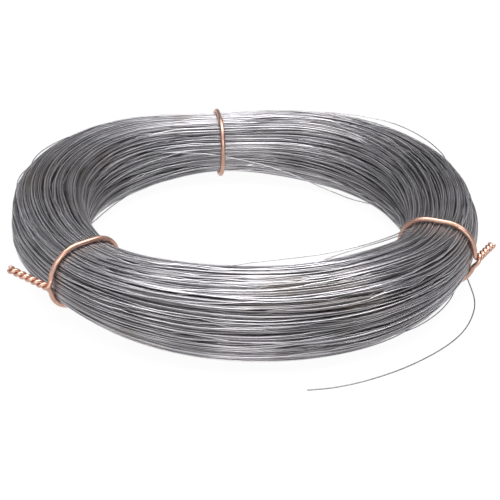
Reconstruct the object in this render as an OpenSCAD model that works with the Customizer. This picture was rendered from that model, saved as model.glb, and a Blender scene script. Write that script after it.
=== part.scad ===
// Coil of fine drawn steel wire, bound by three twisted copper ties.
// It lies flat, with its bore on the Z axis. The origin is the bore's centre,
// at half the pack's height; heights below are given from the floor.

/* [Coil] */
// Outer diameter of the wound pack
coil_d = 204; // [190:1:240]
// Thickness of the wound bundle, from the bore to the outside
bundle_w = 33.5; // [28:0.5:40]
// Height of the pack
coil_h = 33.2; // [28:0.1:50]
// Radius that rounds both upper edges of the pack
top_corner_r = 13.5; // [6:0.5:14]
// Radius that rounds both lower edges
base_corner_r = 13.5; // [6:0.5:14]
// Diameter of the wire that the coil is wound from
wire_d = 0.5; // [0.4:0.05:1]

/* [Ties] */
// Diameter of the copper tie wire
tie_d = 1.5; // [1:0.1:2]
// Clear space between each tie and the floor of its channel
tie_play = 0.15; // [0.1:0.05:0.3]
// Play on either side of a tie in its channel
channel_play = 0.6; // [0.5:0.05:1]
// How far the ties draw the pack in on top
top_bite = 3.8; // [0.5:0.1:6]
// How far the ties draw the pack in on its outer side
side_bite = 2.1; // [0.5:0.1:4]
// How far to either side of a tie the pack's top is drawn in
waist_reach = 38; // [20:1:50]
// Height of the ties' underside above the floor
base_lift = 1.6; // [0.1:0.1:4]
// Radius of the ties' bend round each edge of the pack
tie_bend_r = 11.5; // [5:0.5:12]
// Length of one full turn of the twists, in tie diameters
twist_pitch = 2.9; // [2.9:0.1:5]

/* [Far tie] */
// Angle round the coil
far_angle = 99.5; // [80:0.5:120]
// How far it sits outwards of the other two
far_shift = 1.3; // [0:0.1:2]
// Height of the twist's root above the floor
far_root_h = 13; // [10:0.5:18]
// Clear space between the twist's root and the pack
far_root_gap = 0.3; // [0.2:0.1:2]
// Length of the twist
far_twist_len = 14; // [8:1:24]

/* [Left tie] */
// Angle round the coil
left_angle = 221; // [200:0.5:240]
// Lean out of upright
left_lean = 8.5; // [-20:0.5:20]
// Height of the twist's root above the floor
left_root_h = 15; // [10:0.5:18]
// Clear space between the twist's root and the pack
left_root_gap = 0.8; // [0.2:0.1:2]
// Length of the twist
left_twist_len = 18; // [8:1:24]

/* [Right tie] */
// Angle round the coil
right_angle = 339.5; // [320:0.5:350]
// Lean out of upright
right_lean = -3.5; // [-20:0.5:20]
// Height of the twist's root above the floor
right_root_h = 17.5; // [10:0.5:18]
// Clear space between the twist's root and the pack
right_root_gap = 0.8; // [0.2:0.1:2]
// Length of the twist
right_twist_len = 12; // [8:1:24]

/* [Hidden] */

steel = [0.56, 0.57, 0.60];
copper = [0.80, 0.46, 0.34];

coil_r = coil_d / 2;
bore_r = coil_r - bundle_w;
// A corner never takes more than its half of the bundle's width or height
corner_limit = min(bundle_w, coil_h) / 2 - 1;
top_r = min(top_corner_r, corner_limit);
base_r = min(base_corner_r, corner_limit);

// A groove lies between neighbouring turns, this deep
groove = 0.4 * wire_d;

tie_r = tie_d / 2;
// At the bore the ties are just under the pack's surface
tie_sunk = 0.05;
channel_w = tie_d + 2 * channel_play;
// The channels' cutters reach this far past the pack
cut_past = 10;
tie_sides = 8;
turn_rings = 12;
// Strands of this helix radius just clear each other at the tightest pitch
helix_r = 0.53 * tie_d;
helix_pitch = twist_pitch * tie_d;
// The strands leave the pack this far above and below the root, the right
// tie's lower one further down, where it stands off the pack
root_reach = 2.3 * tie_d;
slack_reach = 3.9 * tie_d;
// The pull of each end of a strand's blend into the twist, against its length
blend_pull = 1.2;

// What the ties hold: inner and outer radius, lower and upper height
held_in = bore_r + tie_d + tie_sunk;
held_out = coil_r - side_bite;
held_low = base_lift + tie_d;
held_high = coil_h - top_bite;
bend_r = min(tie_bend_r, (held_high - held_low) / 2 - 1, (held_out - held_in) / 2 - 1);

// Radius, along the coil, of the hollow that a tie draws into the pack
hollow_r = (waist_reach * waist_reach + top_bite * top_bite) / (2 * top_bite);

// Each tie: angle, outward shift, lean, height of the root, length of the
// twist, the outward, along and upward parts of the twist's direction, clear
// space at the root, and how far below the root the lower strand leaves the pack
far = [far_angle, far_shift, 0, far_root_h, far_twist_len, [0.6, 0.75, 0.2],
    far_root_gap, root_reach];
left = [left_angle, 0, left_lean, left_root_h, left_twist_len, [0.56, -0.72, 0.36],
    left_root_gap, root_reach];
right = [right_angle, 0, right_lean, right_root_h, right_twist_len, [0.24, 0.96, 0],
    right_root_gap, slack_reach];

// The wire's free end, from under the pack's foot past the right tie and along
// the floor
tail_points = [
    [93.2, 1, 0.26], [93.3, -6, 0.26], [93.6, -12, 0.26], [94.1, -18, 0.26],
    [94.7, -24, 0.26], [95.1, -31, 0.26], [95.3, -40, 0.26], [94.3, -49, 0.26],
    [91.5, -59, 0.26], [87.7, -68, 0.26], [82.5, -76.5, 0.26], [76, -84.5, 0.26],
    [68.5, -92, 0.26], [60.5, -98.8, 0.26], [51.5, -105, 0.26], [42.5, -110, 0.26],
    [33, -113.8, 0.26], [24, -115.7, 0.26],
];
tail_steps = 4;
tail_sides = 8;

// Heights from the floor become heights from the bore's centre
module from_floor() {
    translate([0, 0, -coil_h / 2]) children();
}

function unit(v) = v / norm(v);
function arc(centre, r, from, to, n) =
    [for (i = [0:n]) let (a = from + (to - from) * i / n) centre + r * [cos(a), sin(a)]];

// Centres of the arcs that round the pack's section
outer_foot = [coil_r - base_r, base_r];
outer_crown = [coil_r - top_r, coil_h - top_r];
inner_crown = [bore_r + top_r, coil_h - top_r];
inner_foot = [bore_r + base_r, base_r];

// Points along an arc, one at each wire's crest and one in each groove
function wound_arc(centre, r, from, to) =
    let (turns = max(2, round(abs(to - from) * PI / 180 * r / wire_d)))
    [for (i = [0:2 * turns - 1])
        let (a = from + (to - from) * i / (2 * turns), q = i % 2 == 0 ? r : r - groove)
        centre + q * [cos(a), sin(a)]];

// The same along a straight stretch, where inward points into the pack
function wound_line(a, b, inward) =
    let (turns = max(1, round(norm(b - a) / wire_d)))
    [for (i = [0:2 * turns - 1])
        a + (b - a) * i / (2 * turns) + (i % 2 == 0 ? [0, 0] : groove * inward)];

module pack_section() {
    polygon(concat(
        wound_arc(outer_foot, base_r, -60, 0),
        wound_line([coil_r, base_r], [coil_r, coil_h - top_r], [-1, 0]),
        wound_arc(outer_crown, top_r, 0, 90),
        wound_line([coil_r - top_r, coil_h], [bore_r + top_r, coil_h], [0, -1]),
        wound_arc(inner_crown, top_r, 90, 150),
        arc(inner_crown, top_r, 150, 180, 4),
        arc(inner_foot, base_r, 180, 270, 12),
        arc(outer_foot, base_r, -90, -66, 4)
    ));
}

// Rounded outline at a distance out from what the ties hold, run round from
// the outer foot to the outer crown, as points of [radius, height]. It starts
// and ends at angles of the outer corners, which are 0 where they turn upright.
function tie_outline(out, steps, foot_turn = 0, crown_turn = 0) =
    let (r = bend_r + out, k = bend_r)
    concat(
        arc([held_out - k, held_low + k], r, -foot_turn, -90, steps),
        arc([held_in + k, held_low + k], r, 270, 180, steps),
        arc([held_in + k, held_high - k], r, 180, 90, steps),
        arc([held_out - k, held_high - k], r, 90, crown_turn, steps)
    );

module tie_channel(t) {
    stretch = 1 / cos(t[2]);
    rotate([0, 0, t[0]]) translate([t[1], 0, coil_h / 2]) rotate([90 - t[2], 0, 0])
        linear_extrude(height = channel_w, center = true) difference() {
            translate([bore_r - cut_past, -coil_h])
                square([bundle_w + 2 * cut_past, 2 * coil_h]);
            polygon([for (q = tie_outline(-tie_play, 8)) [q.x, (q.y - coil_h / 2) * stretch]]);
        }
}

// What a tie draws into the pack: a wide round hollow across the top, another
// across the underside, and a flat on the outer side
module waist(t) {
    rotate([0, 0, t[0]]) translate([t[1], 0, 0]) {
        for (z = [held_high + hollow_r, held_low - hollow_r])
            translate([0, 0, z]) rotate([0, 90, 0])
                cylinder(h = coil_r + cut_past, r = hollow_r, $fn = 180);
        translate([held_out, -coil_r, -cut_past])
            cube([coil_r, 2 * coil_r, coil_h + 2 * cut_past]);
    }
}

module wire_coil() {
    color(steel) from_floor() difference() {
        rotate_extrude($fn = 180) pack_section();
        for (t = [far, left, right]) {
            waist(t);
            tie_channel(t);
        }
    }
}

// A point of the section, carried out of upright by the tie's lean
function leaned(q, lean) = [q.x, (q.y - coil_h / 2) * tan(lean), q.y];

// Cubic blend from point a with direction u to point b with direction v
function blend(a, u, b, v, n) =
    let (k = blend_pull * norm(b - a))
    [for (i = [1:n - 1]) let (t = i / n)
        (2 * t * t * t - 3 * t * t + 1) * a + (t * t * t - 2 * t * t + t) * k * u
        + (3 * t * t - 2 * t * t * t) * b + (t * t * t - t * t) * k * v];

// One strand of the left-handed twist about axis d. The strand from above,
// side 1, comes down past the root and the one from below goes up past it.
function strand(start, d, n, side, length) =
    let (m = cross(d, n), rings = round(length / helix_pitch * turn_rings))
    [for (i = [0:rings]) let (a = 360 * i / turn_rings)
        start + d * (helix_pitch * i / turn_rings)
        - side * helix_r * (sin(a) * n + cos(a) * m)];

function reversed(p) = [for (i = [len(p) - 1:-1:0]) p[i]];

// Angle of a corner at which it is a height over its upright end, 0 past it
function turn_at(over) = asin(max(0, min(1, over / (bend_r + tie_r))));

// The tie's run round the pack, open where its ends leave it for the twist
function tie_loop(t) =
    let (
        run = held_out + tie_r,
        foot_over = held_low + bend_r - (t[3] - t[7]),
        crown_over = t[3] + root_reach - (held_high - bend_r)
    )
    concat(
        foot_over < 0 ? [[run, t[3] - t[7]]] : [],
        tie_outline(tie_r, 7, turn_at(foot_over), turn_at(crown_over)),
        crown_over < 0 ? [[run, t[3] + root_reach]] : []
    );

// Centre line of a whole tie in its own plane: in along one strand of the
// twist, round the pack and out along the other strand
function tie_line(t) =
    let (
        d = unit(t[5]),
        lean = t[2],
        root = leaned([held_out + t[6] + tie_r + helix_r, t[3]], lean),
        upright = [0, tan(lean), 1],
        n = unit(upright - (upright * d) * d),
        loop = [for (q = tie_loop(t)) leaned(q, lean)],
        last = len(loop) - 1,
        low = strand(root, d, n, -1, t[4]),
        high = strand(root, d, n, 1, t[4])
    )
    concat(
        reversed(low),
        blend(low[0], unit(low[0] - low[1]), loop[0], unit(loop[1] - loop[0]), 6),
        loop,
        blend(loop[last], unit(loop[last] - loop[last - 1]), high[0], unit(high[1] - high[0]), 6),
        high
    );

// Tube of radius r swept along the points p, closed by flat ends
module tube(p, r, sides) {
    count = len(p);
    along = [for (i = [0:count - 1]) unit(p[min(i + 1, count - 1)] - p[max(i - 1, 0)])];
    first = unit(cross(along[0], [0.31, 0.47, 0.83]));
    side = [for (i = 0, s = first; i < count; i = i + 1,
        s = i < count ? unit(s - (s * along[i]) * along[i]) : s) s];
    points = [for (i = [0:count - 1]) let (other = cross(along[i], side[i]))
        for (k = [0:sides - 1]) p[i] + r * (cos(360 * k / sides) * side[i] + sin(360 * k / sides) * other)];
    walls = [for (i = [0:count - 2]) for (k = [0:sides - 1])
        let (a = i * sides + k, b = i * sides + (k + 1) % sides)
        for (f = [[a, a + sides, b], [b, a + sides, b + sides]]) f];
    polyhedron(points, concat(
        walls,
        [[for (k = [0:sides - 1]) k]],
        [[for (k = [sides - 1:-1:0]) (count - 1) * sides + k]]
    ));
}

module tie(t) {
    color(copper) from_floor() rotate([0, 0, t[0]]) translate([t[1], 0, 0])
        tube(tie_line(t), tie_r, tie_sides);
}

// A smooth curve through the tail's own points
function through(p, steps) =
    [for (i = [0:len(p) - 2])
        let (a = p[max(i - 1, 0)], b = p[i], c = p[i + 1], d = p[min(i + 2, len(p) - 1)])
        for (j = [0:steps - 1 + (i == len(p) - 2 ? 1 : 0)]) let (t = j / steps)
        0.5 * (2 * b + (c - a) * t + (2 * a - 5 * b + 4 * c - d) * t * t
            + (3 * b - a - 3 * c + d) * t * t * t)];

module loose_end() {
    color(steel) from_floor() tube(through(tail_points, tail_steps), wire_d / 2, tail_sides);
}

wire_coil();
tie(far);  // tie_far
tie(left);  // tie_left
tie(right);  // tie_right
loose_end();
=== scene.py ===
import math

import bpy
import numpy as np
from mathutils import Matrix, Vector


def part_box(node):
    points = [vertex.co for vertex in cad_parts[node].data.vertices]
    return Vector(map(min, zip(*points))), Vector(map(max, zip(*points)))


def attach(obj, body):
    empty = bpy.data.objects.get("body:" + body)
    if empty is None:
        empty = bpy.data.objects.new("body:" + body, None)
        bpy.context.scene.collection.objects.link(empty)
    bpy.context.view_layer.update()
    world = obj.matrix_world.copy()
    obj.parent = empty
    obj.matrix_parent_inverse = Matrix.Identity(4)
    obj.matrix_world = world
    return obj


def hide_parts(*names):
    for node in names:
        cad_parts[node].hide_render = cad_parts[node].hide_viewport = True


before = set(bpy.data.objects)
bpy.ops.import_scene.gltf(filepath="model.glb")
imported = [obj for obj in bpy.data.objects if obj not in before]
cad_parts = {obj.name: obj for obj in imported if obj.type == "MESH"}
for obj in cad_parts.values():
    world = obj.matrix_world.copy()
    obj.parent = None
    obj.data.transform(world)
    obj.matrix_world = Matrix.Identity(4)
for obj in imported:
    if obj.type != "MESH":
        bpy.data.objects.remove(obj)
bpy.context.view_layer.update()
print("frame loaded:", ", ".join(sorted(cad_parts)))

mm = 0.001
fullTurn = 2 * math.pi
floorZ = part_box("wire_coil")[0].z  # the coil lies on the floor, so its lowest point is the floor


# Camera: the viewing angle of the photograph. It looks at a point above the
# bore's centre, then is nudged by small turns that frame the coil as pictured.
cameraPlace = {
    "lookAtHeight": 17 * mm,  # above the floor
    "distance": 634.58 * mm,
    "elevation": 24.89,  # degrees, as the nudges and the roll are
    "nudgeUp": -1.3636,
    "nudgeSideways": 0.1826,
    "roll": -1.3066,
    "frameSide": 500,  # pixels of the square picture
    "focalLength": 1461.3,  # in the same pixels
    "sensor": 36.0,  # millimetres, Blender's usual width
    "clip": (10 * mm, 50),  # nothing nearer or further is drawn
}


def planeTurn(first, second, angle):
    # a turn by an angle in the plane of two axes: their cosines on the diagonal, sines off it
    turn = np.eye(3)
    turn[first, first] = turn[second, second] = math.cos(angle)
    turn[first, second] = -math.sin(angle)
    turn[second, first] = math.sin(angle)
    return turn


def placeCamera(c):
    # Rows are the picture's right, up and depth directions. The camera stands the distance
    # back along the depth from what it looks at, and each nudge turns two of the rows.
    e = math.radians(c["elevation"])
    view = np.array([[1, 0, 0], [0, math.sin(e), math.cos(e)], [0, math.cos(e), -math.sin(e)]])
    spot = np.array([0, 0, floorZ + c["lookAtHeight"]]) - c["distance"] * view[2]
    view = planeTurn(1, 2, math.radians(c["nudgeUp"])) @ view
    view = planeTurn(0, 2, math.radians(c["nudgeSideways"])) @ view
    view = planeTurn(0, 1, math.radians(c["roll"])) @ view
    lens = bpy.data.cameras.new("camera")
    lens.sensor_width = c["sensor"]
    lens.lens = c["focalLength"] / c["frameSide"] * c["sensor"]
    lens.clip_start, lens.clip_end = c["clip"]
    camera = bpy.data.objects.new("camera", lens)
    placed = np.eye(4)
    placed[:3, :3] = np.array([view[0], view[1], -view[2]]).T
    placed[:3, 3] = spot
    camera.matrix_world = Matrix(placed.tolist())
    bpy.context.scene.collection.objects.link(camera)
    bpy.context.scene.camera = camera


placeCamera(cameraPlace)
bpy.context.scene.view_settings.view_transform = "Standard"
print("camera placed")


# Shader maths: a Term is a socket of one node tree, and expressions on Terms add Math nodes.
class Term:
    def __init__(self, tree, socket):
        self.tree = tree
        self.socket = socket

    def __add__(self, other):
        return mathNode(self.tree, "ADD", self, other)

    def __radd__(self, other):
        return mathNode(self.tree, "ADD", other, self)

    def __sub__(self, other):
        return mathNode(self.tree, "SUBTRACT", self, other)

    def __rsub__(self, other):
        return mathNode(self.tree, "SUBTRACT", other, self)

    def __mul__(self, other):
        return mathNode(self.tree, "MULTIPLY", self, other)

    def __rmul__(self, other):
        return mathNode(self.tree, "MULTIPLY", other, self)

    def __truediv__(self, other):
        return mathNode(self.tree, "DIVIDE", self, other)

    def __rtruediv__(self, other):
        return mathNode(self.tree, "DIVIDE", other, self)

    def atLeast(self, limit):
        return mathNode(self.tree, "MAXIMUM", self, limit)

    def atMost(self, limit):
        return mathNode(self.tree, "MINIMUM", self, limit)

    def between(self, low, high):
        # 0 below low, 1 above high, straight in between
        return ((self - low) / (high - low)).atMost(1).atLeast(0)


# Any node: its type, its settings first, then the values or links of its sockets
def addNode(tree, kind, settings=None, sockets=None):
    node = tree.nodes.new(kind)
    for name, value in (settings or {}).items():
        setattr(node, name, value)
    for name, value in (sockets or {}).items():
        socket = node.inputs[name]
        if isinstance(value, Term):
            tree.links.new(value.socket, socket)
        elif socket.type == "RGBA":
            socket.default_value = (*value, 1)
        else:
            socket.default_value = value
    return {s.name: Term(tree, s) for s in node.outputs if s.enabled}


def mathNode(tree, operation, *values):
    sockets = dict(enumerate(values))
    return addNode(tree, "ShaderNodeMath", {"operation": operation}, sockets)["Value"]


def newMaterial(name):
    # a material with nothing in its node tree yet
    material = bpy.data.materials.new(name)
    material.use_nodes = True
    material.node_tree.nodes.clear()
    return material, material.node_tree


def noise(tree, where, scale, detail=3.0, roughness=0.55):
    # a soft random field of the place, about 0.5, with scale as many waves a metre
    return addNode(tree, "ShaderNodeTexNoise", {}, {
        "Vector": where, "Scale": scale, "Detail": detail, "Roughness": roughness})["Fac"]


def mixColour(tree, amount, first, second):
    # the colour sockets of a Mix node are its seventh and eighth
    sockets = {0: amount, 6: first, 7: second}
    return addNode(tree, "ShaderNodeMix", {"data_type": "RGBA"}, sockets)["Result"]


steelLook = {
    "bright": (0.755, 0.74, 0.775),
    "dull": (0.125, 0.12, 0.128),
    "stain": (0.28, 0.235, 0.20),  # thin brown film between the turns
    "toneShare": 0.85,  # how much of the shade is the turn's own tone
    "patchShare": 0.15,  # and how much is patches along it
    "patchSize": 14 * mm,
    "patchBand": (0.35, 0.65),  # noise values between which a patch sets in
    "speckShare": 0.12,  # how much fine specks change the shade
    "speckSize": 1.1 * mm,
    "speckDetail": 2.0,
    "filmSize": 35 * mm,  # of the stain's patches
    "filmBand": (0.52, 0.72),
    "filmShare": 0.55,
    "roughness": 0.3,
    "roughnessSpread": 0.10,  # from speck to speck
    "dullRoughness": 0.1,  # added on the dullest turns
}


# Drawn steel: each turn has its own tone, which also holds painted shade, sheen and highlights,
# and patches and specks change it along the wire
def drawnSteel(look):
    # shade = tone + patches + specks, each times its share, runs the colour from dull to
    # bright, and the stain covers the dull turns in patches
    material, tree = newMaterial("drawnSteel")
    where = addNode(tree, "ShaderNodeTexCoord")["Object"]
    tone = addNode(tree, "ShaderNodeAttribute", {"attribute_name": "tone"})["Fac"]
    patches = noise(tree, where, 1 / look["patchSize"]).between(*look["patchBand"])
    specks = noise(tree, where, 1 / look["speckSize"], look["speckDetail"])
    shade = tone * look["toneShare"] + patches * look["patchShare"]
    shade = (shade + (specks - 0.5) * look["speckShare"]).atLeast(0)
    base = mixColour(tree, shade, look["dull"], look["bright"])
    stained = noise(tree, where, 1 / look["filmSize"]).between(*look["filmBand"])
    colour = mixColour(tree, stained * (1 - tone) * look["filmShare"], base, look["stain"])
    roughness = (specks * look["roughnessSpread"] + (1 - tone) * look["dullRoughness"]
                 + look["roughness"])
    shader = addNode(tree, "ShaderNodeBsdfPrincipled", {}, {
        "Base Color": colour, "Metallic": 1.0, "Roughness": roughness})
    addNode(tree, "ShaderNodeOutputMaterial", {}, {"Surface": shader["BSDF"]})
    return material


copperLook = {
    "clean": (0.635, 0.40, 0.32),
    "tarnished": (0.34, 0.18, 0.125),
    "patchSize": 6 * mm,
    "patchBand": (0.42, 0.7),  # noise values between which tarnish sets in
    "patchShare": 0.55,
    "markSize": 0.5 * mm,
    "markDetail": 4.0,
    "markBand": (0.45, 0.7),
    "markShare": 0.3,
    "markDepth": 0.02 * mm,
    "markStrength": 0.5,
    "roughness": 0.27,
    "roughnessSpread": 0.2,  # from mark to mark
    "wornRoughness": 0.15,  # added where it is tarnished
}


# Soft copper wire: clean pink metal with darker patches and shallow handling marks
def tiedCopper(look):
    # worn = patches + marks, each times its share, runs the colour from clean to tarnished
    material, tree = newMaterial("tiedCopper")
    where = addNode(tree, "ShaderNodeTexCoord")["Object"]
    patches = noise(tree, where, 1 / look["patchSize"]).between(*look["patchBand"])
    marks = noise(tree, where, 1 / look["markSize"], look["markDetail"])
    worn = patches * look["patchShare"] + marks.between(*look["markBand"]) * look["markShare"]
    colour = mixColour(tree, worn, look["clean"], look["tarnished"])
    roughness = marks * look["roughnessSpread"] + worn * look["wornRoughness"] + look["roughness"]
    bump = addNode(tree, "ShaderNodeBump", {}, {
        "Strength": look["markStrength"], "Distance": look["markDepth"],
        "Height": marks})["Normal"]
    shader = addNode(tree, "ShaderNodeBsdfPrincipled", {}, {
        "Base Color": colour, "Metallic": 1.0, "Roughness": roughness, "Normal": bump})
    addNode(tree, "ShaderNodeOutputMaterial", {}, {"Surface": shader["BSDF"]})
    return material


steel = drawnSteel(steelLook)
copper = tiedCopper(copperLook)
print("materials made")


def gridMesh(name, rings, closedPath, material, tone=None):
    # A piece from rings of points, as strands x steps x sides: tubes whose rings join into
    # quads. Open tubes get a flat face at both ends. The map lays each tube along one strip.
    strands, steps, sides, _ = rings.shape
    count = strands * steps * sides
    index = np.arange(count).reshape(strands, steps, sides)
    if closedPath:
        here, ahead = index, np.roll(index, -1, axis=1)
    else:
        here, ahead = index[:, :-1], index[:, 1:]
    quads = np.stack([here, np.roll(here, -1, axis=2), np.roll(ahead, -1, axis=2), ahead],
                     axis=-1)
    walls = quads.reshape(-1, 4)
    mesh = bpy.data.meshes.new(name)
    mesh.vertices.add(count)
    mesh.vertices.foreach_set("co", rings.reshape(-1).astype(np.float32))
    caps = np.zeros((0, sides), int)
    if not closedPath:
        caps = np.concatenate([index[:, 0, ::-1], index[:, -1]])
    corners = np.concatenate([walls.reshape(-1), caps.reshape(-1)])
    sizes = np.concatenate([np.full(len(walls), 4), np.full(len(caps), sides)])
    mesh.loops.add(len(corners))
    mesh.loops.foreach_set("vertex_index", corners.astype(np.int32))
    mesh.polygons.add(len(sizes))
    starts = np.concatenate([[0], np.cumsum(sizes)[:-1]])
    mesh.polygons.foreach_set("loop_start", starts.astype(np.int32))
    mesh.polygons.foreach_set("use_smooth", sizes == 4)
    # along the tube is the map's width; strands and sides share its height, with a gap of
    # half a side between strands, and the end faces share one small disc
    gap = 0.5
    runs = here.shape[1]
    along = np.arange(runs)[None, :, None, None] + np.array([0, 0, 1, 1])
    across = np.arange(sides)[None, None, :, None] + np.array([0, 1, 1, 0])
    strip = np.arange(strands)[:, None, None, None]
    u = np.broadcast_to(along / runs, quads.shape)
    v = np.broadcast_to((strip + (across + gap / 2) / (sides + gap)) / strands, quads.shape)
    capPlace = np.zeros((caps.size, 2))
    if caps.size:
        angle = np.arange(sides) * fullTurn / sides
        disc = np.stack([np.cos(angle), np.sin(angle)], axis=1) * gap / (sides + gap) / strands
        capPlace = np.tile(disc, (len(caps), 1)) + 0.5 / strands
    places = np.concatenate([np.stack([u, v], axis=-1).reshape(-1, 2), capPlace])
    layer = mesh.uv_layers.new(name="OFBake")
    layer.uv.foreach_set("vector", places.reshape(-1).astype(np.float32))
    if tone is not None:
        spread = np.broadcast_to(np.reshape(tone, (strands, -1, 1)), (strands, steps, sides))
        mesh.attributes.new("tone", "FLOAT", "POINT").data.foreach_set(
            "value", spread.reshape(-1).astype(np.float32))
    mesh.update()
    mesh.validate()
    mesh.materials.append(material)
    piece = bpy.data.objects.new(name, mesh)
    bpy.context.scene.collection.objects.link(piece)
    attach(piece, "root")
    return piece


def unit(v):
    # each vector over its own length
    return v / np.linalg.norm(v, axis=-1, keepdims=True)


def tubeRings(path, radius, sides, up, closedPath):
    # A round tube about a path: each corner is the path's point plus the radius times
    # cos(angle) of the up direction, squared to the path, and sin(angle) of their product.
    if closedPath:
        along = unit(np.roll(path, -1, axis=-2) - np.roll(path, 1, axis=-2))
    else:
        along = unit(np.gradient(path, axis=-2))
    first = unit(up - np.sum(up * along, axis=-1, keepdims=True) * along)
    second = np.cross(along, first)
    angle = np.arange(sides) * fullTurn / sides
    c = np.cos(angle)[:, None]
    s = np.sin(angle)[:, None]
    radius = np.asarray(radius)[..., None, None]
    return path[..., None, :] + radius * (c * first[..., None, :] + s * second[..., None, :])


def carriedUp(path, start):
    # An up direction carried along an open path without twisting: at each step what points
    # along the path is taken off it, and its length is made 1 again.
    along = unit(np.gradient(path, axis=0))
    carried = [start - np.dot(start, along[0]) * along[0]]
    for step in along[1:]:
        carried.append(carried[-1] - np.dot(carried[-1], step) * step)
        carried[-1] = carried[-1] / np.linalg.norm(carried[-1])
    return np.array(carried)


def throughPoints(points, steps):
    # smooth curve through points: each span is the cubic that leaves and arrives along
    # the line between the points on either side
    p = np.concatenate([points[:1], points, points[-1:]])
    a, b, c, d = (p[i:len(p) - 3 + i, None, :] for i in range(4))
    t = (np.arange(steps) / steps)[None, :, None]
    spans = 0.5 * (2 * b + (c - a) * t + (2 * a - 5 * b + 4 * c - d) * t ** 2
                   + (3 * b - a - 3 * c + d) * t ** 3)
    return np.concatenate([spans.reshape(-1, 3), points[-1:]])


# The wire's free end: out from under the right tie and forward along the floor.
# The route is the solid's own, as x and y in millimetres.
looseEnd = {
    "route": [
        (93.2, 1), (93.3, -6), (93.6, -12), (94.1, -18), (94.7, -24), (95.1, -31),
        (95.3, -40), (94.3, -49), (91.5, -59), (87.7, -68), (82.5, -76.5), (76, -84.5),
        (68.5, -92), (60.5, -98.8), (51.5, -105), (42.5, -110), (33, -113.8), (24, -115.7),
    ],
    "height": 0.26,  # of the wire's middle above the floor
    "wire": 0.5,  # diameter
    "tone": 0.12,
    "steps": 8,  # from one point of the route to the next
    "sides": 10,
}


def makeLooseEnd(look):
    # a round tube along the smooth curve through the route's points, level on the floor
    flat = np.array(look["route"], float) * mm
    points = np.column_stack([flat, np.full(len(flat), floorZ + look["height"] * mm)])
    path = throughPoints(points, look["steps"])
    up = np.broadcast_to(np.array([0.0, 0.0, 1.0]), path.shape)
    rings = tubeRings(path, look["wire"] / 2 * mm, look["sides"], up, False)
    piece = gridMesh("looseEnd", rings[None], False, steel, np.array([look["tone"]]))
    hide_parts("loose_end")


makeLooseEnd(looseEnd)


# The wound pack. Its section is a rounded square that the ties draw in.
pack = {
    "centreRadius": 86.0155,  # mean radius of the bundle's middle
    "outOfRound": [(2, -2.0624, -0.4214), (3, -0.3825, 0.2621)],  # waves a turn, cosine, sine
    "halfWidth": 16.7,  # of the section away from the ties
    "halfHeight": 16.8,
    "squareness": 2.81,  # 2 is an ellipse, more is squarer
    "drawnSquareness": 2.5,  # from here on, the same sizes where a tie draws the pack in
    "drawnHalfWidth": 14.87,
    "drawnHalfHeight": 13.1,
    "drawnBase": 3.15,  # height of the pack's underside over a tie
    "drawnReach": 26,  # degrees round the coil over which a tie draws the pack in
    # angle of each tie, radius of the bundle's middle there, the tie's lean out of upright
    "ties": [(99.5, 86.275, 0), (221, 84.975, 8.5), (339.5, 84.975, -3.5)],
    "wire": 0.5,  # diameter
    "floorGap": 0.01,  # between the lowest turns and the floor
    "layers": [  # from the skin inwards: mean spacing of the turns and depth under the skin
        {"spacing": 0.86, "depth": 0.0},
        {"spacing": 0.62, "depth": 0.38},
        {"spacing": 0.54, "depth": 0.78},
        {"spacing": 0.54, "depth": 1.2},
    ],
    "unevenness": 0.42,  # how far a turn may start from its even place, in spacings
    "tone": 0.44,  # mean brightness of the turns, from 0, dull, to 1, bright
    "toneSpread": 0.17,  # from turn to turn
    "paintedDepthShade": 0.4,  # painted shade: how much darker each millimetre under the skin, as if shaded by the turns above
    "toneDrift": 0.05,  # change along each turn by itself
    "toneCycles": 5,
    "paintedSheen": 0.06,  # painted sheen: change that neighbours share, as bands of wires that catch the light
    "sheenRipple": {"across": (14, 44), "along": 4},
    "proud": 0.24,  # share of the skin's turns that lie proud of the others
    "proudLift": 0.2,
    "paintedProudHighlight": 0.45,  # painted highlight: how much brighter the proud and wandering turns are
    "steps": 120,
    "sides": 4,
    "seed": 7,
}


def tiedness(theta, reach, height=0):
    # The bell exp(-(angle off the tie / reach) squared) for each tie, and their sum. Where a
    # tie leans, its angle moves with the height over the pack's middle.
    weights = []
    for angle, middle, lean in pack["ties"]:
        off = (theta - math.radians(angle) + math.pi) % fullTurn - math.pi
        off = off - height * math.tan(math.radians(lean)) / middle
        weights.append(np.exp(-(off / math.radians(reach)) ** 2))
    return sum(weights), weights


def roundness(theta):
    # radius of the bundle's middle: the mean plus a cosine and a sine for each count of waves
    r = pack["centreRadius"]
    for waves, c, s in pack["outOfRound"]:
        r = r + c * np.cos(waves * theta) + s * np.sin(waves * theta)
    return r


def superellipse(t, n):
    # cosine and sine of t, each to the power 2 / n with its sign kept
    c, s = np.cos(t), np.sin(t)
    return np.sign(c) * np.abs(c) ** (2 / n), np.sign(s) * np.abs(s) ** (2 / n)


def perimeterTable(count):
    # arc length round the section against the superellipse's own angle
    t = np.linspace(0, fullTurn, count)
    x, z = superellipse(t, pack["squareness"])
    step = np.hypot(np.diff(x * pack["halfWidth"]), np.diff(z * pack["halfHeight"]))
    return t, np.concatenate([[0], np.cumsum(step)])


tableAngle, tableLength = perimeterTable(4001)
perimeter = tableLength[-1]


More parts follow.
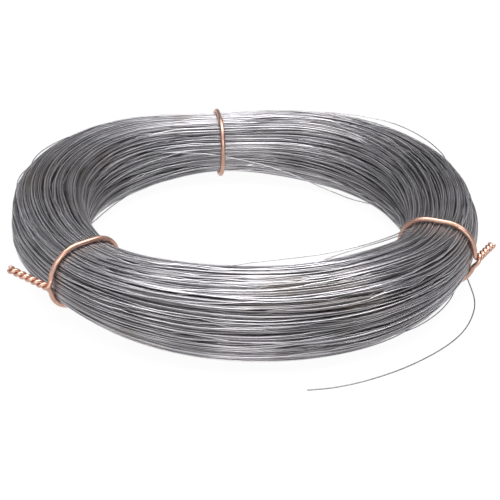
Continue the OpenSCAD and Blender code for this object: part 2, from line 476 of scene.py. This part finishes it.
def packPoint(theta, place, depth):
    # A point of the pack and its direction outwards: theta round the coil, place the distance
    # round the section from its outermost point, up and over, and depth under the skin, both
    # in millimetres. The section is a superellipse, width x and height z from the middle,
    # whose sizes run from the free ones to the drawn ones as tiedness goes from 0 to 1. The
    # direction outwards has x and z to the power n - 1, over width and height.
    t = np.interp(place % perimeter, tableLength, tableAngle)
    _, rise = superellipse(t, pack["squareness"])
    drawn, weights = tiedness(theta, pack["drawnReach"], rise * pack["halfHeight"])
    n = pack["squareness"] + (pack["drawnSquareness"] - pack["squareness"]) * drawn
    width = pack["halfWidth"] + (pack["drawnHalfWidth"] - pack["halfWidth"]) * drawn
    height = pack["halfHeight"] + (pack["drawnHalfHeight"] - pack["halfHeight"]) * drawn
    middle = roundness(theta)
    for weight, (angle, radius, _) in zip(weights, pack["ties"]):
        middle = middle + weight * (radius - roundness(math.radians(angle)))
    x, z = superellipse(t, n)
    nx = np.sign(x) * np.abs(x) ** (n - 1) / width
    nz = np.sign(z) * np.abs(z) ** (n - 1) / height
    size = np.hypot(nx, nz)
    nx, nz = nx / size, nz / size
    r = middle + width * x - depth * nx
    up = height + pack["drawnBase"] * drawn + height * z - depth * nz
    up = np.maximum(up, pack["wire"] / 2 + pack["floorGap"])
    point = np.stack([r * np.cos(theta), r * np.sin(theta), up], axis=-1)
    outward = np.stack([nx * np.cos(theta), nx * np.sin(theta), nz], axis=-1)
    return point * mm + np.array([0, 0, floorZ]), outward


class Ripple:
    # A smooth random field over the pack's skin: a sum of waves, each a whole number of
    # times round the section and round the coil, scaled to a spread of about 1
    def __init__(self, rng, across, along, count=70):
        self.across = rng.integers(across[0], across[1] + 1, count)
        self.along = rng.integers(-along, along + 1, count)
        self.phase = rng.uniform(0, fullTurn, count)
        self.size = rng.normal(0, 1, count)
        self.size /= np.sqrt(np.sum(self.size ** 2) / 2)

    def at(self, place, theta):
        # the field and its slope along the section, per millimetre
        value = np.zeros(np.broadcast(place, theta).shape)
        slope = np.zeros_like(value)
        for p, q, phase, size in zip(self.across, self.along, self.phase, self.size):
            k = fullTurn * p / perimeter
            angle = k * place + q * theta + phase
            value += size * np.cos(angle)
            slope -= size * k * np.sin(angle)
        return value, slope


# Ripples of the skin: across gives the fewest and the most waves round the section, and
# along the most round the coil
relief = {
    "wideSlits": {"across": (5, 17), "along": 3, "narrow": 0.26, "depth": 1.1, "part": 0.34},
    "fineSlits": {"across": (15, 40), "along": 4, "narrow": 0.36, "depth": 0.6, "part": 0.12},
    "swell": {"across": (2, 9), "along": 3, "height": 0.2},
    "flow": {"across": (1, 5), "along": 3, "size": 0.7},  # sideways wander that neighbours share
    "mostPush": 0.5,  # how far a slit pushes turns aside
    "tieCalm": 9,  # degrees either side of a tie where the slits close
    "drift": 0.22,  # how far each turn wanders to the side by itself
    "driftCycles": 2,  # in waves of up to this many cycles round the coil
    "lift": 0.1,  # and in depth
    "liftCycles": 3,
    "wanderers": 0.11,  # share of the skin's turns that wander much further
    "wanderersDrift": 2.2,
    "wanderersCycles": 4,
    "wanderersFollow": 0.3,  # how much of the slits and swells they follow
    "wanderersLift": 0.26,
    "proudest": 0.35,  # furthest that a turn stands over the skin
    "deepest": 1.7,  # and that it lies under its own layer's depth
}


def driftWaves(rng, theta, strands, size, highest):
    # One slow random wave a strand: the sum, for 1 to highest cycles round the coil, of a
    # cosine whose random size falls as 1 / cycles. size is one number for all strands, or
    # one for each.
    total = np.zeros((strands, theta.shape[-1]))
    for waves in range(1, highest + 1):
        c = rng.normal(0, 1, (strands, 1)) / waves
        phase = rng.uniform(0, fullTurn, (strands, 1))
        total += c * np.cos(waves * theta + phase)
    return total * np.reshape(size, (-1, 1))


def reliefAt(ripples, place, theta):
    # Place and depth of the skin's turns. A slit is its depth times the bell
    # exp(-(value / narrow) squared) of a ripple's value, and the bell's slope pushes the turns
    # aside. Both fade to nothing at a tie.
    wide, fine, swell, flow = ripples
    calm = 1 - np.clip(tiedness(theta, relief["tieCalm"])[0], 0, 1)
    place = place + flow.at(place, theta)[0] * relief["flow"]["size"]
    depth = swell.at(place, theta)[0] * relief["swell"]["height"]
    push = 0
    for ripple, look in ((wide, relief["wideSlits"]), (fine, relief["fineSlits"])):
        value, slope = ripple.at(place, theta)
        bell = np.exp(-(value / look["narrow"]) ** 2)
        depth = depth + look["depth"] * bell
        push = push + 2 * look["part"] * value * slope / look["narrow"] ** 2 * bell
    return place + np.clip(push, -relief["mostPush"], relief["mostPush"]) * calm, depth * calm


def windPack():
    # Every turn starts from an even place on the section and keeps to it round the coil, plus
    # the skin's relief and its own slow waves. A turn's tone is worked out the same way.
    rng = np.random.default_rng(pack["seed"])
    theta = (np.arange(pack["steps"]) * fullTurn / pack["steps"])[None, :]
    ripples = [Ripple(rng, relief[name]["across"], relief[name]["along"])
               for name in ("wideSlits", "fineSlits", "swell", "flow")]
    homes, depths = [], []
    for layer in pack["layers"]:
        turns = int(perimeter / layer["spacing"])
        uneven = rng.uniform(-pack["unevenness"], pack["unevenness"], turns)
        homes.append((np.arange(turns) + uneven) * perimeter / turns)
        depths.append(np.full(turns, layer["depth"]))
    home, layerDepth = np.concatenate(homes), np.concatenate(depths)
    strands = len(home)
    wanders = (rng.random(strands) < relief["wanderers"]) & (layerDepth == 0)
    place, depth = reliefAt(ripples, home[:, None], theta)
    place = place + driftWaves(rng, theta, strands, relief["drift"], relief["driftCycles"])
    wanderersDrift = np.where(wanders, relief["wanderersDrift"], 0)
    place = place + driftWaves(rng, theta, strands, wanderersDrift, relief["wanderersCycles"])
    depth = depth * np.where(wanders, relief["wanderersFollow"], 1)[:, None] + layerDepth[:, None]
    depth = depth + driftWaves(rng, theta, strands, relief["lift"], relief["liftCycles"])
    depth = depth - np.where(wanders, relief["wanderersLift"], 0)[:, None]
    proud = (rng.random(strands) < pack["proud"]) & (layerDepth == 0) & ~wanders
    depth = depth - np.where(proud, pack["proudLift"], 0)[:, None]
    depth = np.clip(depth, -relief["proudest"], relief["deepest"] + layerDepth[:, None])
    tone = rng.normal(pack["tone"], pack["toneSpread"], strands)[:, None]
    # painted shade: turns deeper under the skin are darkened as if shaded by the turns above them
    tone = tone - pack["paintedDepthShade"] * layerDepth[:, None]
    tone = tone + driftWaves(rng, theta, strands, pack["toneDrift"], pack["toneCycles"])
    # painted highlight: proud and wandering turns are made brighter, as if they caught more of the
    # lamps
    tone = tone + np.where(proud | wanders, pack["paintedProudHighlight"], 0)[:, None]
    # painted sheen: groups of neighbouring turns made brighter or darker together, as bands that
    # catch the lamps
    sheenRipple = Ripple(rng, pack["sheenRipple"]["across"], pack["sheenRipple"]["along"])
    tone = np.clip(tone + pack["paintedSheen"] * sheenRipple.at(place, theta)[0], 0, 1)
    point, outward = packPoint(theta, place, depth + pack["wire"] / 2)
    rings = tubeRings(point, pack["wire"] / 2 * mm, pack["sides"], outward, True)
    # One piece for each sixth of the section's length, from its outermost point up and over:
    # the outer side's upper half, the top, the bore's wall in two halves, the underside, and
    # the outer side's lower half.
    names = ["outerTurns", "shoulderTurns", "topTurns", "crownTurns", "boreTurns", "baseTurns"]
    shares = np.minimum((home % perimeter) / perimeter * len(names), len(names) - 1).astype(int)
    for number, name in enumerate(names):
        mine = shares == number
        piece = gridMesh(name, rings[mine], True, steel, tone[mine])
        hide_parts("wire_coil")
        print(name + ":", int(mine.sum()), "turns")


windPack()


# Turns that have sprung a little way off the pack, where the picture shows them. Each
# route is angles round the coil with radii and heights above the floor in millimetres,
# and both its ends run back in among the other turns.
looseTurns = {
    "wire": 0.5,  # diameter
    "tone": 0.7,
    "curveSteps": 12,  # from point to point of a route, before it is spaced evenly
    "steps": 72,
    "sides": 6,
    "routes": {
        "innerFrontRight": [
            (-104, 80, 30.4), (-97, 78, 31), (-93, 76, 31), (-88, 73.4, 31), (-78, 71.3, 31),
            (-67, 71.2, 31), (-58, 71.6, 31), (-49, 72.8, 30.9), (-41, 73.8, 30.5),
            (-35, 74.2, 29.7), (-30, 74.3, 28.8), (-26, 75.2, 27.5), (-22, 77.5, 26.2)],
        "innerFrontRightSecond": [
            (-70, 77.5, 30.8), (-62, 74.6, 31), (-56, 73.7, 31), (-49, 74.1, 30.9),
            (-42, 74.8, 30.4), (-35, 75.2, 29.3), (-29, 75.8, 28.1), (-23, 78, 26.3)],
        "acrossTheFarWall": [
            (128, 73, 21.5), (120, 70.9, 20), (116.5, 70.4, 19.4), (108.5, 70.6, 17.5),
            (100.5, 70.8, 15.6), (90.5, 71, 12.7), (83.5, 71.2, 10.8), (77, 71.5, 8.8),
            (71.5, 71.9, 7), (66, 72.8, 4.6), (61, 73.4, 2.8), (55, 73.4, 1.8),
            (48, 72.6, 1.8), (41, 74.4, 2), (34, 77.5, 2.6)],
        "outerRearRight": [
            (72, 94, 31), (67, 97, 31.5), (64, 98.4, 31.5), (58, 101, 31.5), (52, 102.6, 31.5),
            (47, 103, 31.5), (41, 102, 31.5), (35, 100.4, 31.5), (29, 98.6, 31.4),
            (23, 96.8, 31), (17, 93.5, 30.2)],
        "leftRearUpper": [
            (142, 94, 30.4), (148, 96.4, 31.2), (153, 97.2, 31.4), (157, 97.7, 31.4),
            (162, 97.9, 31.4), (167, 97.3, 31.3), (171, 95.8, 31), (176, 92.5, 30.2)],
        "leftRearLower": [
            (163, 95, 30), (168, 97.4, 29.7), (172.5, 98.8, 29.3), (175.5, 99.4, 28.8),
            (178, 99.4, 28), (182, 98.5, 27.2), (187, 96, 26.8)],
        "innerLeft": [
            (176, 75, 4.2), (170, 72.2, 3.4), (163, 71.1, 3), (156, 71.1, 3), (149, 71.9, 3),
            (143, 73, 3), (136, 75, 3.2), (129, 78, 3.6)],
        "outerFrontRight": [
            (-21, 94, 6.5), (-25, 95.8, 5.4), (-28, 97, 4.8), (-31.4, 97.8, 4.5),
            (-35.3, 98.5, 4.3), (-39.4, 99.1, 4.2), (-43.5, 99.5, 4.1), (-48, 99.6, 4),
            (-53, 98.9, 4), (-59, 96.5, 4)],
    },
}


def evenlySpaced(path, steps):
    # the same curve as steps points the same distance apart
    gone = np.concatenate([[0], np.cumsum(np.linalg.norm(np.diff(path, axis=0), axis=1))])
    places = np.linspace(0, gone[-1], steps)
    return np.column_stack([np.interp(places, gone, path[:, axis]) for axis in range(3)])


def makeLooseTurns(look):
    # each route becomes a smooth curve of x = radius cos(angle), y = radius sin(angle) and its
    # height, and a round tube about it
    paths = []
    for route in look["routes"].values():
        angle, radius, height = np.array(route, float).T
        angle = np.radians(angle)
        points = np.column_stack([radius * np.cos(angle), radius * np.sin(angle), height])
        paths.append(evenlySpaced(throughPoints(points, look["curveSteps"]), look["steps"]))
    path = np.array(paths) * mm + np.array([0, 0, floorZ])
    up = np.broadcast_to(np.array([0.0, 0.0, 1.0]), path.shape)
    rings = tubeRings(path, look["wire"] / 2 * mm, look["sides"], up, False)
    piece = gridMesh("looseTurns", rings, False, steel, np.full(len(paths), look["tone"]))
    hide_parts("wire_coil")
    print("loose turns:", len(paths))


makeLooseTurns(looseTurns)


# Dark filling under the outer turns, so that no light comes through the pack; its dark tone is
# painted shade standing in for the shaded turns deeper in
filling = {
    "depth": 3.3,  # under the skin
    # painted shade: the filling gets the dullest tone
    "tone": 0.1,
    "steps": 120,
    "sides": 96,
}


def fillPack(look):
    # the pack's own surface, the same depth under its skin all over
    theta = (np.arange(look["steps"]) * fullTurn / look["steps"])[:, None]
    place = (np.arange(look["sides"]) * perimeter / look["sides"])[None, :]
    point, _ = packPoint(theta, place, look["depth"])
    piece = gridMesh("innerTurns", point[None], True, steel, np.array([look["tone"]]))
    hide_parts("wire_coil")


fillPack(filling)
print("pack wound")


# Copper ties: in along one strand of the twist, round the pack and out along the other.
# They start from the lines of the frame's solids and are drawn as thick as they look.
# Lengths are millimetres, heights from the floor and radii from the coil's axis.
tie = {
    "wire": 2.1,  # diameter round the pack
    "twistWire": 1.72,  # and in the twist, whose pull has thinned it
    "inner": 70.05,  # what the ties hold: inner and outer radius, lower and upper height
    "outer": 99.9,
    "low": 3.1,
    "high": 29.4,
    "bend": 11.5,  # radius of the held corners
    "arcSteps": 14,  # in each corner
    "helixRadius": 0.84,
    "pitch": 5.0,  # length of one turn of the twist
    "reach": 3.45,  # height over and under the root at which the strands leave the pack
    "blendPull": 1.2,  # how stiffly they turn into the twist
    "packMiddle": 16.6,  # the height about which a tie leans
    "ringsATurn": 24,
    "blendSteps": 12,
    "sides": 14,
    "firstUp": (0.31, 0.47, 0.83),  # where a wire's first corner points, along no tie
    "pinch": 0.8,  # the cutters' squeeze at both ends
}
# Where each tie is round the coil, its lean and shift, and its twist: the height of its
# root, its length, where it points (out, along the coil, up) and its gap to the pack
eachTie = {
    "tie_far": {"angle": 99.5, "lean": 0, "shift": 1.3, "rootHeight": 13, "length": 14,
                "direction": (0.6, 0.75, 0.2), "gap": 0.3},
    "tie_left": {"angle": 221, "lean": 8.5, "shift": 0, "rootHeight": 15, "length": 16.7,
                 "direction": (0.56, -0.72, 0.36), "gap": 0.8},
    "tie_right": {"angle": 339.5, "lean": -3.5, "shift": 0, "rootHeight": 16.3, "length": 13,
                  "direction": (0.24, 0.96, 0.11), "gap": 0.7,
                  "lowReach": 5.4},  # its lower strand leaves the pack further down
}


def arcPoints(x, z, radius, first, last):
    # points of an arc in the section: centre plus radius times cosine and sine of the angle
    a = np.radians(np.linspace(first, last, tie["arcSteps"] + 1))
    return np.column_stack([x + radius * np.cos(a), z + radius * np.sin(a)])


def blendPoints(a, u, b, v):
    # the cubic that leaves point a along u and arrives at point b along v, both directions
    # as long as the pull times the distance between the points
    k = tie["blendPull"] * np.linalg.norm(b - a)
    t = (np.arange(1, tie["blendSteps"]) / tie["blendSteps"])[:, None]
    return ((2 * t ** 3 - 3 * t ** 2 + 1) * a + (t ** 3 - 2 * t ** 2 + t) * k * u
            + (3 * t ** 2 - 2 * t ** 3) * b + (t ** 3 - t ** 2) * k * v)


def tieLoop(look):
    # the run round the pack, from under the root to over it, in its own upright plane: four
    # arcs, the first and last cut short where a strand leaves them, or run on straight
    half = tie["wire"] / 2
    r = tie["bend"] + half
    inX, outX = tie["inner"] + tie["bend"], tie["outer"] - tie["bend"]
    lowZ, highZ = tie["low"] + tie["bend"], tie["high"] - tie["bend"]
    run = tie["outer"] + half
    leavesLow = look["rootHeight"] - look.get("lowReach", tie["reach"])
    leavesHigh = look["rootHeight"] + tie["reach"]
    footTurn = math.degrees(math.asin(max(0, min(1, (lowZ - leavesLow) / r))))
    crownTurn = math.degrees(math.asin(max(0, min(1, (leavesHigh - highZ) / r))))
    outline = [arcPoints(outX, lowZ, r, -footTurn, -90), arcPoints(inX, lowZ, r, 270, 180),
               arcPoints(inX, highZ, r, 180, 90), arcPoints(outX, highZ, r, 90, crownTurn)]
    if leavesLow > lowZ:
        outline.insert(0, [[run, leavesLow]])
    if leavesHigh < highZ:
        outline.append([[run, leavesHigh]])
    return np.concatenate(outline)


def tieLine(look):
    # Centre line of a whole tie, and its radius. A twist is two helices half a turn apart
    # about its direction d: the root plus d times pitch times turns, plus and minus the helix
    # radius times sin(angle) of n, upright, and cos(angle) of m, sideways, both square to d.
    slope = math.tan(math.radians(look["lean"]))
    flat = tieLoop(look)
    loop = np.column_stack([flat[:, 0], (flat[:, 1] - tie["packMiddle"]) * slope, flat[:, 1]])
    d = unit(np.array(look["direction"], float))
    rootX = tie["outer"] + look["gap"] + tie["wire"] / 2 + tie["helixRadius"]
    root = np.array([rootX, (look["rootHeight"] - tie["packMiddle"]) * slope, look["rootHeight"]])
    upright = np.array([0, slope, 1])
    n = unit(upright - np.dot(upright, d) * d)
    m = np.cross(d, n)
    rings = round(look["length"] / tie["pitch"] * tie["ringsATurn"])
    turn = np.arange(rings + 1)[:, None] / tie["ringsATurn"]
    circle = -tie["helixRadius"] * (np.sin(turn * fullTurn) * n + np.cos(turn * fullTurn) * m)
    low = root + d * tie["pitch"] * turn - circle
    high = root + d * tie["pitch"] * turn + circle
    inward = blendPoints(low[0], unit(low[0] - low[1]), loop[0], unit(loop[1] - loop[0]))
    outward = blendPoints(loop[-1], unit(loop[-1] - loop[-2]), high[0], unit(high[1] - high[0]))
    line = np.concatenate([low[::-1], inward, loop, outward, high])
    # thin in the twist and full round the pack, changing evenly in between
    start, end, steps = len(low) - 1, len(line) - len(high), tie["blendSteps"]
    places = [start, start + steps, end - steps, end]
    wires = np.array([tie["twistWire"], tie["wire"], tie["wire"], tie["twistWire"]])
    radius = np.interp(np.arange(len(line)), places, wires / 2)
    radius[[0, -1]] *= tie["pinch"]
    return line, radius


def makeTies():
    # each line is turned by its angle round the coil's axis, and a round tube follows it
    for node, look in eachTie.items():
        line, radius = tieLine(look)
        a = math.radians(look["angle"])
        x, y = line[:, 0] + look["shift"], line[:, 1]
        east, north = x * math.cos(a) - y * math.sin(a), x * math.sin(a) + y * math.cos(a)
        path = np.column_stack([east, north, line[:, 2]]) * mm + np.array([0, 0, floorZ])
        up = carriedUp(path, np.array(tie["firstUp"]))
        rings = tubeRings(path, radius * mm, tie["sides"], up, False)
        piece = gridMesh(node.replace("tie_", "") + "Tie", rings[None], False, copper)
        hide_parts(node)


makeTies()
print("ties twisted")


# Floor, lamps and sky
studio = {
    "floorRadius": 6.0,
    "plateRadius": 0.4,  # of the floor's middle, one flat face
    "floorSides": 96,
    "floorColour": (0.86, 0.86, 0.86),
    "horizon": (1, 1, 1),
    "overhead": (0.10, 0.10, 0.105),
    "horizonHeights": (0.14, 0.24),  # sines of the heights between which white turns to dim
    "shadowShare": 0.05,  # how much of the floor's own shading the camera sees
}


def seenDirectly(tree):
    # 1 for what the camera, a reflection or a view through glass sees
    path = addNode(tree, "ShaderNodeLightPath")
    seen = path["Is Camera Ray"].atLeast(path["Is Glossy Ray"])
    return seen.atLeast(path["Is Transmission Ray"])


def layFloor(look):
    # a flat disc: two circles of points, a plate inside the first and quads from it to the next
    sides = look["floorSides"]
    angle = np.arange(sides) * fullTurn / sides
    radius = np.array([look["plateRadius"], look["floorRadius"]])[:, None]
    ring = np.stack([radius * np.cos(angle), radius * np.sin(angle),
                     np.full((2, sides), floorZ)], axis=-1)
    mesh = bpy.data.meshes.new("floor")
    inner = np.arange(sides)
    ahead = (inner + 1) % sides
    quads = np.stack([inner, sides + inner, sides + ahead, ahead], axis=-1)
    mesh.from_pydata(ring.reshape(-1, 3).tolist(), [], [inner.tolist()] + quads.tolist())
    floor = bpy.data.objects.new("floor", mesh)
    bpy.context.scene.collection.objects.link(floor)
    material, tree = newMaterial("paleFloor")
    matt = addNode(tree, "ShaderNodeBsdfDiffuse", {}, {"Color": look["floorColour"]})["BSDF"]
    white = addNode(tree, "ShaderNodeEmission", {}, {
        "Color": (1, 1, 1), "Strength": 1.0})["Emission"]
    lit = seenDirectly(tree) * (1 - look["shadowShare"])
    shader = addNode(tree, "ShaderNodeMixShader", {}, {0: lit, 1: matt, 2: white})["Shader"]
    addNode(tree, "ShaderNodeOutputMaterial", {}, {"Surface": shader})
    mesh.materials.append(material)


def makeSky(look):
    # white at the horizon, turning to dim overhead; plain dim for the light it gives
    world = bpy.data.worlds.new("sky")
    bpy.context.scene.world = world
    world.use_nodes = True
    tree = world.node_tree
    tree.nodes.clear()
    direction = addNode(tree, "ShaderNodeTexCoord")["Generated"]
    height = addNode(tree, "ShaderNodeSeparateXYZ", {}, {"Vector": direction})["Z"]
    dimming = height.between(*look["horizonHeights"])
    backdrop = mixColour(tree, dimming, look["horizon"], look["overhead"])
    colour = mixColour(tree, seenDirectly(tree), look["overhead"], backdrop)
    background = addNode(tree, "ShaderNodeBackground", {}, {"Color": colour, "Strength": 1.0})
    addNode(tree, "ShaderNodeOutputWorld", {}, {"Surface": background["Background"]})


lamps = {
    "ceiling": {"at": (0, 0.05, 1.1), "size": (1.6, 0.8), "watts": 26.5, "colour": (1, 1, 0.99)},
    "ceilingRight": {"at": (0.6, 0, 1.05), "size": (0.3, 0.8), "watts": 4.2, "colour": (1, 1, 1)},
    "front": {"at": (0, -1.15, 0.45), "size": (0.5, 0.35), "watts": 7.4,
              "colour": (1, 0.98, 0.95)},
    "frontLeft": {"at": (-0.85, -0.75, 0.6), "size": (0.4, 0.4), "watts": 2.7,
                  "colour": (1, 0.98, 0.95)},
}


def hangLamps():
    # a lamp shines down its own -Z, here towards the origin, and its width lies square to Y
    nearlyY = np.array([0, 1, 0.001])
    for name, look in lamps.items():
        light = bpy.data.lights.new(name, "AREA")
        light.shape = "RECTANGLE"
        light.size, light.size_y = look["size"]
        light.energy = look["watts"]
        light.color = look["colour"]
        lamp = bpy.data.objects.new(name, light)
        at = np.array(look["at"])
        away = unit(at)
        side = unit(np.cross(nearlyY, away))
        placed = np.eye(4)
        placed[:3, :3] = np.array([side, np.cross(away, side), away]).T
        placed[:3, 3] = at
        lamp.matrix_world = Matrix(placed.tolist())
        bpy.context.scene.collection.objects.link(lamp)


layFloor(studio)
makeSky(studio)
hangLamps()
print("studio lit")

bpy.context.view_layer.update()
